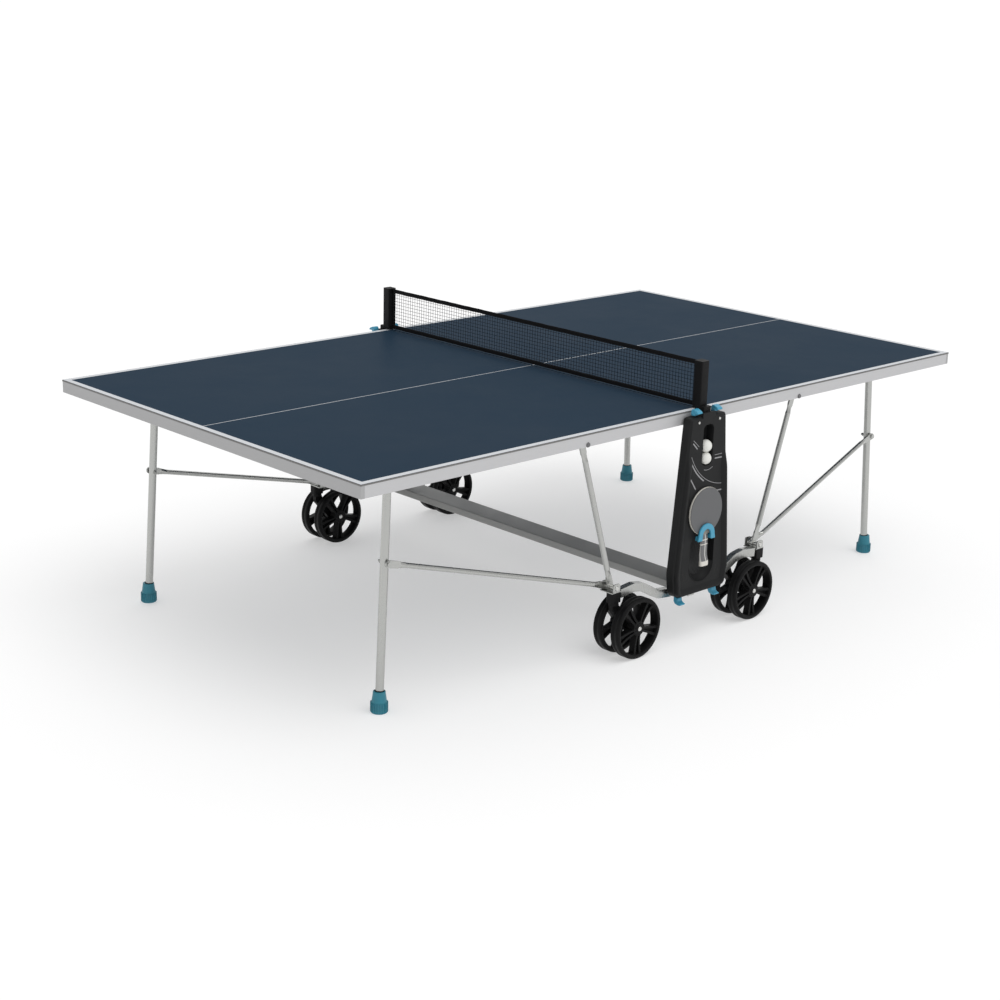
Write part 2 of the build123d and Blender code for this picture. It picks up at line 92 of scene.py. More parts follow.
# materials
def addNode(tree, kind, sockets=None, **settings):
    node = tree.nodes.new(kind)
    for key, value in settings.items():
        setattr(node, key, value)
    for key, value in (sockets or {}).items():
        if isinstance(value, bpy.types.NodeSocket):
            tree.links.new(value, node.inputs[key])
        else:
            node.inputs[key].default_value = value
    return node


def mathNode(tree, operation, first, second=0.0):
    return addNode(tree, "ShaderNodeMath", {0: first, 1: second}, operation=operation).outputs[0]


def mixColours(tree, amount, first, second):
    mix = tree.nodes.new("ShaderNodeMix")
    mix.data_type = "RGBA"
    for socket, value in ((mix.inputs[0], amount), (mix.inputs[6], first), (mix.inputs[7], second)):
        if isinstance(value, bpy.types.NodeSocket):
            tree.links.new(value, socket)
        else:
            socket.default_value = value
    return mix.outputs[2]


def shade(colour, amount):
    return (*(min(1.0, part * amount) for part in colour), 1)


def makeFinish(name, finish):
    # patches and grain vary the colour, roughness and height; lighter edges are wear, on the wheels a painted
    # highlight
    material = bpy.data.materials.new(name)
    material.use_nodes = True
    tree = material.node_tree
    shader = tree.nodes["Principled BSDF"]
    place = tree.nodes.new("ShaderNodeTexCoord").outputs["Object"]
    stretched = addNode(tree, "ShaderNodeMapping",
                        {"Vector": place, "Scale": finish.get("stretch", (1, 1, 1))})
    patches = addNode(tree, "ShaderNodeTexNoise", {"Vector": stretched.outputs[0], "Scale": finish["patch"],
                                                   "Detail": 4.0, "Roughness": 0.6})
    grain = addNode(tree, "ShaderNodeTexNoise", {"Vector": stretched.outputs[0], "Scale": finish["grain"],
                                                 "Detail": 2.0})
    colour = mixColours(tree, patches.outputs[0], shade(finish["colour"], 1 - finish["shift"]),
                        shade(finish["colour"], 1 + finish["shift"]))
    if "stripe" in finish:
        stripe = finish["stripe"]
        along = addNode(tree, "ShaderNodeSeparateXYZ", {0: place}).outputs[stripe["axis"]]
        turns = mathNode(tree, "FRACT", mathNode(tree, "DIVIDE", along, stripe["pitch"]))
        colour = mixColours(tree, mathNode(tree, "LESS_THAN", turns, stripe["share"]), colour,
                            shade(stripe["colour"], 1))
    speckle = mathNode(tree, "MULTIPLY", grain.outputs[0], finish.get("speckle", 0.25))
    colour = mixColours(tree, speckle, colour, shade(finish["colour"], 0.55))
    softEdge = addNode(tree, "ShaderNodeBevel", {"Radius": finish.get("edge", 0.0007)}, samples=3)
    bump = addNode(tree, "ShaderNodeBump", {"Strength": 0.35, "Distance": finish["depth"],
                                            "Height": grain.outputs[0], "Normal": softEdge.outputs[0]})
    # lighter edges: edge wear, and where the tone is strong a painted highlight
    if finish.get("edgeWearAndHighlight"):
        flat = tree.nodes.new("ShaderNodeNewGeometry").outputs["Normal"]
        dot = addNode(tree, "ShaderNodeVectorMath", {0: softEdge.outputs[0], 1: flat},
                      operation="DOT_PRODUCT")
        edge = mathNode(tree, "SUBTRACT", 1.0, dot.outputs["Value"])
        edge = mathNode(tree, "MULTIPLY", edge, finish["edgeWearAndHighlight"])
        edge = mathNode(tree, "MULTIPLY", edge, patches.outputs[0])
        colour = mixColours(tree, mathNode(tree, "MINIMUM", edge, 0.7), colour,
                            shade(finish["colour"], finish.get("wearAndHighlightTone", 2.2)))
    gloss = addNode(tree, "ShaderNodeMapRange",
                    {"Value": patches.outputs[0], "From Min": 0.3, "From Max": 0.7,
                     "To Min": finish["gloss"][0], "To Max": finish["gloss"][1]})
    tree.links.new(colour, shader.inputs["Base Color"])
    tree.links.new(gloss.outputs[0], shader.inputs["Roughness"])
    tree.links.new(bump.outputs[0], shader.inputs["Normal"])
    shader.inputs["Metallic"].default_value = finish.get("metal", 0.0)
    shader.inputs["Specular IOR Level"].default_value = finish.get("shine", 0.5)
    shader.inputs["Sheen Weight"].default_value = finish.get("sheen", 0.0)
    return material


finishes = {
    "topLaminate": {"colour": (0.020, 0.040, 0.066), "shift": 0.07, "patch": 3.0, "grain": 1400.0,
                    "depth": 0.00006, "gloss": (0.42, 0.5), "edge": 0.001, "shine": 0.008},
    "linePaint": {"colour": (0.62, 0.64, 0.67), "shift": 0.06, "patch": 9.0, "grain": 1600.0,
                  "depth": 0.00004, "gloss": (0.35, 0.45)},
    # side rails, end rail and cross bars are one metal; the long rails' lighter colour is painted light
    "apronLongPaintedLight": {"colour": (0.57, 0.57, 0.58), "shift": 0.04, "patch": 5.0, "grain": 160.0, "speckle": 0.22,
                  "stretch": (0.08, 6, 6), "depth": 0.00005, "gloss": (0.38, 0.5), "metal": 0.3,
                  "shine": 0.2, "edgeWearAndHighlight": 2.0},
    "apronCross": {"colour": (0.43, 0.43, 0.435), "shift": 0.04, "patch": 5.0, "grain": 160.0,
                   "speckle": 0.22, "stretch": (6, 0.08, 6), "depth": 0.00005, "gloss": (0.38, 0.5),
                   "metal": 0.3, "shine": 0.2, "edgeWearAndHighlight": 2.0},
    "zincTube": {"colour": (0.47, 0.475, 0.46), "shift": 0.05, "patch": 14.0, "grain": 260.0, "speckle": 0.08,
                 "stretch": (3, 3, 0.35), "depth": 0.00001, "gloss": (0.24, 0.32), "metal": 0.95},
    "boltSteel": {"colour": (0.66, 0.66, 0.64), "shift": 0.12, "patch": 120.0, "grain": 900.0,
                  "depth": 0.00003, "gloss": (0.2, 0.34), "metal": 1.0},
    "dullBolt": {"colour": (0.16, 0.16, 0.165), "shift": 0.12, "patch": 120.0, "grain": 900.0,
                 "depth": 0.00003, "gloss": (0.35, 0.5), "metal": 0.5},
    "beamPaint": {"colour": (0.34, 0.34, 0.33), "shift": 0.08, "patch": 14.0, "grain": 900.0,
                  "depth": 0.00005, "gloss": (0.36, 0.5), "edgeWearAndHighlight": 1.5},
    "blackPlastic": {"colour": (0.009, 0.009, 0.0095), "shift": 0.25, "patch": 40.0, "grain": 1500.0,
                     "depth": 0.0001, "gloss": (0.42, 0.6), "edgeWearAndHighlight": 3.0, "shine": 0.12},
    # the wheels' strong edge tone paints a highlight along their edges, the rim lips among them
    "wheelPlastic": {"colour": (0.0065, 0.0065, 0.0068), "shift": 0.3, "patch": 60.0, "grain": 1200.0,
                     "depth": 0.00012, "gloss": (0.36, 0.5), "edgeWearAndHighlight": 4.0, "shine": 0.10,
                     "wearAndHighlightTone": 14.0},
    "panelPlastic": {"colour": (0.015, 0.0155, 0.016), "shift": 0.15, "patch": 16.0, "grain": 1300.0,
                     "depth": 0.00014, "gloss": (0.45, 0.58), "edgeWearAndHighlight": 2.0, "shine": 0.14},
    "bluePlastic": {"colour": (0.055, 0.33, 0.50), "shift": 0.12, "patch": 50.0, "grain": 1300.0,
                    "depth": 0.00005, "gloss": (0.3, 0.42), "edgeWearAndHighlight": 1.0},
    "tealPlastic": {"colour": (0.022, 0.20, 0.27), "shift": 0.14, "patch": 60.0, "grain": 1300.0,
                    "depth": 0.00005, "gloss": (0.36, 0.5), "edgeWearAndHighlight": 1.0},
    "netCord": {"colour": (0.004, 0.004, 0.005), "shift": 0.3, "patch": 90.0, "grain": 3000.0,
                "depth": 0.0001, "gloss": (0.7, 0.85), "shine": 0.05},
    "netTape": {"colour": (0.010, 0.010, 0.011), "shift": 0.2, "patch": 60.0, "grain": 1500.0, "speckle": 0.5,
                "stretch": (1, 1, 3), "depth": 0.0002, "gloss": (0.65, 0.8), "shine": 0.08},
    "stitchThread": {"colour": (0.035, 0.035, 0.037), "shift": 0.2, "patch": 90.0, "grain": 3000.0,
                     "depth": 0.0001, "gloss": (0.6, 0.75)},
    "edgeBand": {"colour": (0.20, 0.195, 0.19), "shift": 0.1, "patch": 12.0, "grain": 900.0,
                 "depth": 0.00004, "gloss": (0.4, 0.5), "shine": 0.2},
    "meshDots": {"colour": (0.040, 0.041, 0.043), "shift": 0.1, "patch": 60.0, "grain": 1500.0,
                 "depth": 0.00004, "gloss": (0.4, 0.5), "shine": 0.4},
    "printedGrey": {"colour": (0.33, 0.33, 0.34), "shift": 0.08, "patch": 40.0, "grain": 1500.0,
                    "depth": 0.00004, "gloss": (0.45, 0.6)},
    "batRubber": {"colour": (0.105, 0.107, 0.112), "shift": 0.08, "patch": 30.0, "grain": 1800.0,
                  "depth": 0.00005, "gloss": (0.4, 0.52), "sheen": 0.1},
    "batWood": {"colour": (0.74, 0.72, 0.65), "shift": 0.12, "patch": 26.0, "grain": 420.0, "speckle": 0.3,
                "stretch": (6, 6, 0.5), "depth": 0.00008, "gloss": (0.4, 0.55),
                "stripe": {"axis": 1, "pitch": 0.0022, "share": 0.14, "colour": (0.25, 0.23, 0.20)}},
    "batGrip": {"colour": (0.15, 0.15, 0.155), "shift": 0.2, "patch": 26.0, "grain": 420.0, "speckle": 0.3,
                "stretch": (6, 6, 0.5), "depth": 0.00008, "gloss": (0.4, 0.55),
                "stripe": {"axis": 0, "pitch": 0.0200, "share": 0.20, "colour": (0.66, 0.65, 0.62)}},
    "batCap": {"colour": (0.72, 0.70, 0.64), "shift": 0.08, "patch": 40.0, "grain": 900.0,
               "depth": 0.00005, "gloss": (0.35, 0.45)},
    "ballPlastic": {"colour": (0.80, 0.80, 0.76), "shift": 0.04, "patch": 60.0, "grain": 2500.0,
                    "speckle": 0.05, "depth": 0.00003, "gloss": (0.4, 0.5)},
    "paintedVentShade": {"colour": (0.004, 0.004, 0.004), "shift": 0.1, "patch": 60.0, "grain": 1500.0,
                   "depth": 0.00005, "gloss": (0.7, 0.8)},
}
materials = {name: makeFinish(name, finish) for name, finish in finishes.items()}


def paintFloor():
    material = bpy.data.materials.new("studioFloor")
    material.use_nodes = True
    shader = material.node_tree.nodes["Principled BSDF"]
    shader.inputs["Base Color"].default_value = (*studio["floorColour"], 1)
    shader.inputs["Emission Color"].default_value = (*studio["air"], 1)
    shader.inputs["Emission Strength"].default_value = studio["floorGlow"]
    shader.inputs["Roughness"].default_value = 0.9
    shader.inputs["Specular IOR Level"].default_value = 0.1
    bpy.ops.mesh.primitive_plane_add(size=studio["floorSize"], location=(0, 0, -0.0005))
    floor = bpy.context.object
    floor.name = "studioFloor"
    floor.data.materials.append(material)


paintFloor()
print("materials ready")


# the pieces that keep their own shape get a finish; a modifier welds and smooths their surface
def startTree(name, sizes):
    tree = bpy.data.node_groups.new(name, "GeometryNodeTree")
    tree.interface.new_socket("Geometry", in_out="INPUT", socket_type="NodeSocketGeometry")
    for key, value in sizes.items():
        kind = "NodeSocketInt" if isinstance(value, int) else "NodeSocketFloat"
        kind = "NodeSocketVector" if isinstance(value, tuple) else kind
        kind = "NodeSocketMaterial" if isinstance(value, bpy.types.Material) else kind
        tree.interface.new_socket(key, in_out="INPUT", socket_type=kind)
    tree.interface.new_socket("Geometry", in_out="OUTPUT", socket_type="NodeSocketGeometry")
    return tree, tree.nodes.new("NodeGroupInput").outputs, tree.nodes.new("NodeGroupOutput").inputs


def setInputs(modifier, sizes):
    for item in modifier.node_group.interface.items_tree:
        if item.in_out == "INPUT" and item.name in sizes:
            modifier[item.identifier] = sizes[item.name]


smoothing = {"Weld Distance": 0.00001, "Crease Angle": math.radians(28)}
smoothTree, inputs, outputs = startTree("smoothSurface", smoothing)
welded = addNode(smoothTree, "GeometryNodeMergeByDistance",
                 {"Geometry": inputs["Geometry"], "Distance": inputs["Weld Distance"]})
smooth = addNode(smoothTree, "GeometryNodeSetShadeSmooth", {"Geometry": welded.outputs[0]})
angle = smoothTree.nodes.new("GeometryNodeInputMeshEdgeAngle").outputs["Unsigned Angle"]
crease = addNode(smoothTree, "FunctionNodeCompare", {0: angle, 1: inputs["Crease Angle"]},
                 data_type="FLOAT", operation="GREATER_THAN")
creased = addNode(smoothTree, "GeometryNodeSetShadeSmooth",
                  {"Geometry": smooth.outputs[0], "Selection": crease.outputs[0], "Shade Smooth": False},
                  domain="EDGE")
smoothTree.links.new(creased.outputs[0], outputs[0])


def smoothPiece(piece):
    modifier = piece.modifiers.new("smoothSurface", "NODES")
    modifier.node_group = smoothTree
    setInputs(modifier, smoothing)


cadFinishes = {
    "board": "topLaminate", "side_rails": "apronLongPaintedLight", "end_rail": "apronCross", "cross_bars": "apronCross",
    "leg_brackets": "zincTube", "top_bolts": "dullBolt", "struts": "zincTube", "links": "zincTube",
    "legs": "zincTube", "leg_tube": "zincTube", "feet": "tealPlastic", "cross_beam": "beamPaint",
    "side_arms": "zincTube", "caster_housings": "blackPlastic", "pivot_brackets": "zincTube",
    "pivot_bolts": "boltSteel", "post_uprights": "zincTube", "side_panels": "panelPlastic",
    "bat_clips": "bluePlastic", "net_posts": "blackPlastic", "net": "netCord", "net_tapes": "netTape",
    "caster": "blackPlastic", "wheel": "wheelPlastic", "rubbers": "batRubber", "bat": "batWood",
    "balls": "ballPlastic", "catch_lever": "bluePlastic", "release_tab": "bluePlastic",
}


def finishFor(node):
    whole = [key for key in cadFinishes if node == key or node.endswith("_" + key)]
    return cadFinishes[whole[0] if whole else next(key for key in cadFinishes if node.startswith(key + "_"))]


for name, piece in cadNodes.items():
    piece.data.materials.clear()
    piece.data.materials.append(materials[finishFor(name)])
    smoothPiece(piece)
print("CAD pieces finished:", len(cadNodes))


# helpers for new pieces
def keepPiece(name, mesh, material, body, replaced=()):
    piece = bpy.data.objects.new(name, mesh)
    scene.collection.objects.link(piece)
    if material:
        mesh.materials.clear()
        mesh.materials.append(materials[material])
    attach(piece, body)
    if replaced:
        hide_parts(*replaced)
    return piece


def bakeTree(tree, sizes, body=None):
    # runs a tree on an empty mesh and returns the plain result
    holder = bpy.data.objects.new("treeHolder", body or bpy.data.meshes.new("treeHolder"))
    scene.collection.objects.link(holder)
    modifier = holder.modifiers.new("shape", "NODES")
    modifier.node_group = tree
    setInputs(modifier, sizes)
    mesh = bpy.data.meshes.new_from_object(holder.evaluated_get(bpy.context.evaluated_depsgraph_get()))
    bpy.data.objects.remove(holder)
    return mesh


def finishTree(tree, parts, material, outputs):
    joined = tree.nodes.new("GeometryNodeJoinGeometry")
    for part in parts:
        tree.links.new(part, joined.inputs[0])
    realized = addNode(tree, "GeometryNodeRealizeInstances", {0: joined.outputs[0]})
    painted = addNode(tree, "GeometryNodeSetMaterial",
                      {"Geometry": realized.outputs[0], "Material": material})
    tree.links.new(painted.outputs[0], outputs[0])


def joinVector(tree, x=0.0, y=0.0, z=0.0):
    return addNode(tree, "ShaderNodeCombineXYZ", {"X": x, "Y": y, "Z": z}).outputs[0]


def pointLine(tree, count, start, end):
    return addNode(tree, "GeometryNodeMeshLine", {"Count": count, "Start Location": start, "Offset": end},
                   mode="END_POINTS").outputs[0]


def repeatOn(tree, points, shape, turn=(0, 0, 0)):
    return addNode(tree, "GeometryNodeInstanceOnPoints",
                   {"Points": points, "Instance": shape.outputs[0], "Rotation": turn}).outputs[0]


def skinRings(form, rings):
    # closes a run of equal rings of vertices into a solid
    form.faces.new(rings[0])
    form.faces.new(rings[-1][::-1])
    for this, following in zip(rings, rings[1:]):
        count = len(this)
        for i in range(count):
            form.faces.new((this[i], this[(i + 1) % count], following[(i + 1) % count], following[i]))


def solidBetween(form, *rings):
    # closes rings of points into a solid
    skinRings(form, [[form.verts.new(point) for point in ring] for ring in rings])


def latheRing(form, profile, steps, place):
    # turns a closed profile of (radius, height) about an axis; place maps (x, y, height) to its spot
    rings = []
    for step in range(steps):
        around = 2 * math.pi * step / steps
        rings.append([form.verts.new(place(radius * math.cos(around), radius * math.sin(around), z))
                      for radius, z in profile])
    for step in range(steps):
        this, following = rings[step], rings[(step + 1) % steps]
        for i in range(len(profile)):
            j = (i + 1) % len(profile)
            form.faces.new((this[i], following[i], following[j], this[j]))


def closeForm(form, name, creaseAngle=30):
    bmesh.ops.remove_doubles(form, verts=form.verts, dist=0.000005)
    bmesh.ops.dissolve_degenerate(form, edges=form.edges, dist=0.000005)
    bmesh.ops.recalc_face_normals(form, faces=form.faces)
    for face in form.faces:
        face.smooth = True
    for edge in form.edges:
        edge.smooth = len(edge.link_faces) == 2 and edge.calc_face_angle(0) < math.radians(creaseAngle)
    mesh = bpy.data.meshes.new(name)
    form.to_mesh(mesh)
    form.free()
    return mesh


def onSide(side, across, out, z):
    # a spot on a long side: across to the viewer's right, out from the back of the side panel
    return Vector((-side * across, side * (panelBack + out), z))


def sideBlock(form, side, outline, back, front):
    # an outline on a long side, from one depth out to another
    solidBetween(form, *([onSide(side, across, out, z) for across, z in outline] for out in (back, front)))


def directionAt(points, i):
    return (points[min(i + 1, len(points) - 1)] - points[max(i - 1, 0)]).normalized()


def softenEdges(piece, segments):
    bevel = piece.modifiers.new("softEdges", "BEVEL")
    bevel.width = 0.0012
    bevel.segments = segments


panelBack = 0.770
panelFace = 0.033
quarterTurn = (math.radians(90), 0, 0)

# border and centre lines on the top, and a grey band round its edge
courtLines = {"top": 0.760, "lift": 0.00015, "sunk": 0.0001, "width": 0.020, "centre": 0.003,
              "inset": 0.0008, "netEnd": 0.0045, "farEnd": 1.370, "halfWidth": 0.7625}
edgeBand = {"low": 0.7549, "high": 0.7595, "thickness": 0.0002, "netEnd": 0.005}


def layStrips(sx, spans, low, high):
    # flat bars on one half, each given by its two ends in x and in y
    form = bmesh.new()
    for xStart, xEnd, yStart, yEnd in spans:
        corners = ((xStart, yStart), (xEnd, yStart), (xEnd, yEnd), (xStart, yEnd))
        solidBetween(form, *([(sx * x, y, z) for x, y in corners] for z in (low, high)))
    return form


for half, sx in halves:
    netEnd, farEnd = courtLines["netEnd"], courtLines["farEnd"] - courtLines["inset"]
    outer = courtLines["halfWidth"] - courtLines["inset"]
    inner, centre = outer - courtLines["width"], courtLines["centre"] / 2
    form = layStrips(sx, [(netEnd, farEnd, -outer, -inner), (netEnd, farEnd, inner, outer),
                          (farEnd - courtLines["width"], farEnd, -inner, inner),
                          (netEnd, farEnd - courtLines["width"], -centre, centre)],
                     courtLines["top"] - courtLines["sunk"], courtLines["top"] + courtLines["lift"])
    keepPiece(f"{half}_court_lines", closeForm(form, "courtLines"), "linePaint", f"{half}_top")
print("court lines drawn")

for half, sx in halves:
    thick, edge, farEnd = edgeBand["thickness"], courtLines["halfWidth"], courtLines["farEnd"]
    form = layStrips(sx, [(edgeBand["netEnd"], farEnd, -edge - thick, -edge + thick),
                          (edgeBand["netEnd"], farEnd, edge - thick, edge + thick),
                          (farEnd - thick, farEnd + thick, -edge, edge)], edgeBand["low"], edgeBand["high"])
    keepPiece(f"{half}_edge_band", closeForm(form, "edgeBand"), "edgeBand", f"{half}_top")

# net: knotted cords between two sewn tapes
netting = {"Length": 1.482, "Bottom": 0.7795, "Top": 0.8975, "Columns": 119, "Rows": 10,
           "Cord": 0.0013, "Knot": 0.00105, "Material": materials["netCord"]}
netTree, inputs, outputs = startTree("netting", netting)
highSide = mathNode(netTree, "MULTIPLY", inputs["Length"], 0.5)
lowSide = mathNode(netTree, "MULTIPLY", highSide, -1.0)
middle = mathNode(netTree, "MULTIPLY", mathNode(netTree, "ADD", inputs["Bottom"], inputs["Top"]), 0.5)
tall = mathNode(netTree, "SUBTRACT", inputs["Top"], inputs["Bottom"])
radius = mathNode(netTree, "MULTIPLY", inputs["Cord"], 0.5)
halfMesh = mathNode(netTree, "DIVIDE", tall, 2.0 * (netting["Rows"] + 1))
firstRow = mathNode(netTree, "ADD", inputs["Bottom"], halfMesh)
lastRow = mathNode(netTree, "SUBTRACT", inputs["Top"], halfMesh)
uprights = pointLine(netTree, inputs["Columns"], joinVector(netTree, y=lowSide, z=middle),
                     joinVector(netTree, y=highSide, z=middle))
rows = pointLine(netTree, inputs["Rows"], joinVector(netTree, z=firstRow), joinVector(netTree, z=lastRow))
upCord = addNode(netTree, "GeometryNodeMeshCylinder", {"Vertices": 6, "Radius": radius, "Depth": tall})
longCord = addNode(netTree, "GeometryNodeMeshCylinder",
                   {"Vertices": 6, "Radius": radius, "Depth": inputs["Length"]})
knotSpots = pointLine(netTree, inputs["Columns"], joinVector(netTree, y=lowSide),
                      joinVector(netTree, y=highSide))
knotShape = addNode(netTree, "GeometryNodeMeshIcoSphere", {"Radius": inputs["Knot"], "Subdivisions": 1})
knotRow = addNode(netTree, "GeometryNodeInstanceOnPoints",
                  {"Points": knotSpots, "Instance": knotShape.outputs[0]})
finishTree(netTree, (repeatOn(netTree, uprights, upCord), repeatOn(netTree, rows, longCord, quarterTurn),
                     repeatOn(netTree, rows, knotRow)), inputs["Material"], outputs)
netMesh = bakeTree(netTree, netting)
net = keepPiece("netting", netMesh, None, "chassis", ["net"])

tape = {"halfLength": 0.741, "height": 0.015, "thickness": 0.003, "bottom": 0.7645, "top": 0.9125,
        "wave": 0.0004, "steps": 120, "sides": 12, "flatness": 0.9}
form = bmesh.new()
for z in (tape["bottom"] + tape["height"] / 2, tape["top"] - tape["height"] / 2):
    rings = []
    for step in range(tape["steps"] + 1):
        y = tape["halfLength"] * (2 * step / tape["steps"] - 1)
        lift = tape["wave"] * math.sin(step * 0.9) * math.sin(step * 0.37)
        ring = []
        for i in range(tape["sides"]):
            around = 2 * math.pi * i / tape["sides"]
            across = math.copysign(abs(math.cos(around)) ** 0.6, math.cos(around)) * tape["thickness"] / 2
            tallness = math.copysign(abs(math.sin(around)) ** 0.35, math.sin(around)) * tape["height"] / 2
            ring.append(form.verts.new((across * tape["flatness"], y, z + tallness + lift)))
        rings.append(ring)
    skinRings(form, rings)
tapes = keepPiece("tapes", closeForm(form, "tapes", 60), "netTape", "chassis", ["net_tapes"])

stitching = {"Length": 1.46, "Stitches": 292, "Stitch": 0.0034, "Thread": 0.0007,
             "Offset": 0.00135, "Material": materials["stitchThread"]}
seamHeights = (0.7775, 0.8995)
stitchTree, inputs, outputs = startTree("stitching", stitching)
lastStitch = mathNode(stitchTree, "MULTIPLY", inputs["Length"], 0.5)
firstStitch = mathNode(stitchTree, "MULTIPLY", lastStitch, -1.0)
parts = []
for z in seamHeights:
    for face in (-1, 1):
        out = mathNode(stitchTree, "MULTIPLY", inputs["Offset"], float(face))
        line = pointLine(stitchTree, inputs["Stitches"], joinVector(stitchTree, out, firstStitch, z),
                         joinVector(stitchTree, out, lastStitch, z))
        thread = addNode(stitchTree, "GeometryNodeMeshCylinder",
                         {"Vertices": 5, "Radius": mathNode(stitchTree, "MULTIPLY", inputs["Thread"], 0.5),
                          "Depth": inputs["Stitch"]})
        parts.append(repeatOn(stitchTree, line, thread, quarterTurn))
finishTree(stitchTree, parts, inputs["Material"], outputs)
stitches = keepPiece("tape_stitches", bakeTree(stitchTree, stitching), None, "chassis")
print("net made")

# wheels: rim, five double spokes and a drilled hub
axle = {"x": 0.280, "y": 0.750, "z": 0.100, "toWheel": 0.0375}
wheel = {"spokes": 5, "firstSpoke": 18, "spokeReach": (0.018, 0.036, 0.058, 0.078, 0.0865),
         "ribWidth": 0.006, "ribStart": 0.0055, "ribSpread": 0.0125, "ribStartDepth": 0.0145,
         "ribDepth": 0.0125, "ribFlare": 0.0012, "web": 0.003, "webWidth": 0.016, "webFlare": 0.004,
         "waist": 0.0025, "holeDepths": ((-0.02, -0.012), (0.012, 0.02)),
         "holes": 10, "holeRadius": 0.0017, "holeCircle": 0.0183, "steps": 96, "hubSteps": 60}
halfRim = [(0.0835, 0.0030), (0.0845, 0.0110), (0.0860, 0.0165), (0.0880, 0.0175), (0.0915, 0.0175),
           (0.0925, 0.0165), (0.0965, 0.0165), (0.0992, 0.0145), (0.1000, 0.0120), (0.1000, 0.0040),
           (0.0992, 0.0030)]
halfHub = [(0.0053, 0.0175), (0.0105, 0.0175), (0.0115, 0.0160), (0.0145, 0.0155), (0.0225, 0.0155),
           (0.0235, 0.0145)]


def bothFaces(profile):
    # completes a profile with its mirror image
    return profile + [(radius, -z) for radius, z in reversed(profile)]


def buildWheel():
    form = bmesh.new()
    latheRing(form, bothFaces(halfRim), wheel["steps"], lambda x, y, z: (x, z, y))
    for spoke in range(wheel["spokes"]):
        around = 2 * math.pi * spoke / wheel["spokes"] + math.radians(wheel["firstSpoke"])
        turned = Matrix.Rotation(around, 3, "Y")
        bars = [(face * wheel["ribStart"], face * wheel["ribSpread"], wheel["ribWidth"],
                 wheel["ribStartDepth"], wheel["ribDepth"], wheel["ribFlare"]) for face in (-1, 1)]
        bars.append((0.0, 0.0, wheel["webWidth"], wheel["web"], wheel["web"], wheel["webFlare"]))
        first, last = wheel["spokeReach"][0], wheel["spokeReach"][-1]
        for near, far, width, nearDepth, farDepth, flare in bars:
            rings = []
            for reach in wheel["spokeReach"]:
                share = (reach - first) / (last - first)
                middle = near + (far - near) * share ** 1.4
                depth = nearDepth + (farDepth - nearDepth) * share
                depth -= wheel["waist"] * math.sin(math.pi * share)
                wide = width / 2 + flare * share
                rings.append([form.verts.new(turned @ Vector(point)) for point in (
                    (reach, -depth, middle - wide), (reach, depth, middle - wide),
                    (reach, depth, middle + wide), (reach, -depth, middle + wide))])
            skinRings(form, rings)
    mesh = closeForm(form, "wheelBody", 40)
    form = bmesh.new()
    latheRing(form, bothFaces(halfHub), wheel["hubSteps"], lambda x, y, z: (x, z, y))
    hubObject = bpy.data.objects.new("hub", closeForm(form, "hub"))
    form = bmesh.new()
    for hole in range(wheel["holes"]):
        around = 2 * math.pi * (hole + 0.5) / wheel["holes"]
        holeX, holeZ = wheel["holeCircle"] * math.cos(around), wheel["holeCircle"] * math.sin(around)
        turns = [math.pi * i / 5 for i in range(10)]
        circle = [(holeX + wheel["holeRadius"] * math.cos(turn), holeZ + wheel["holeRadius"] * math.sin(turn))
                  for turn in turns]
        for ends in wheel["holeDepths"]:
            solidBetween(form, *([(x, y, z) for x, z in circle] for y in ends))
    cutter = bpy.data.objects.new("hubHoles", closeForm(form, "hubHoles"))
    for item in (hubObject, cutter):
        scene.collection.objects.link(item)
    modifier = hubObject.modifiers.new("drill", "BOOLEAN")
    modifier.object = cutter
    modifier.solver = "EXACT"
    hubMesh = bpy.data.meshes.new_from_object(
        hubObject.evaluated_get(bpy.context.evaluated_depsgraph_get()))
    for item in (hubObject, cutter):
        bpy.data.objects.remove(item)
    both = bmesh.new()
    both.from_mesh(mesh)
    both.from_mesh(hubMesh)
    whole = bpy.data.meshes.new("wheel")
    both.to_mesh(whole)
    both.free()
    return whole


wheelMesh = buildWheel()
slimFork = {"stemX": 0.348, "halfWide": 0.0085, "steps": 32,
            "outline": [(0.360, 0.1885), (0.334, 0.1885), (0.330, 0.176), (0.2740, 0.1260), (0.2600, 0.1120),
                        (0.2580, 0.0980), (0.2640, 0.0850), (0.2760, 0.0790), (0.2900, 0.0810),
                        (0.3000, 0.0900), (0.3590, 0.1640)],
            "stem": [(0.0, 0.180), (0.0150, 0.180), (0.0150, 0.1885), (0.0058, 0.1890), (0.0058, 0.2190),
                     (0.0, 0.2190)],
            "halfAxle": [(0.0, 0.0560), (0.0048, 0.0560), (0.0048, 0.0190), (0.0130, 0.0190)]}
hubBolt = {"reach": 0.0548, "steps": 24,
           "profile": [(0.0, 0.0), (0.0075, 0.0), (0.0075, 0.0012), (0.0055, 0.0028), (0.0, 0.0032)]}
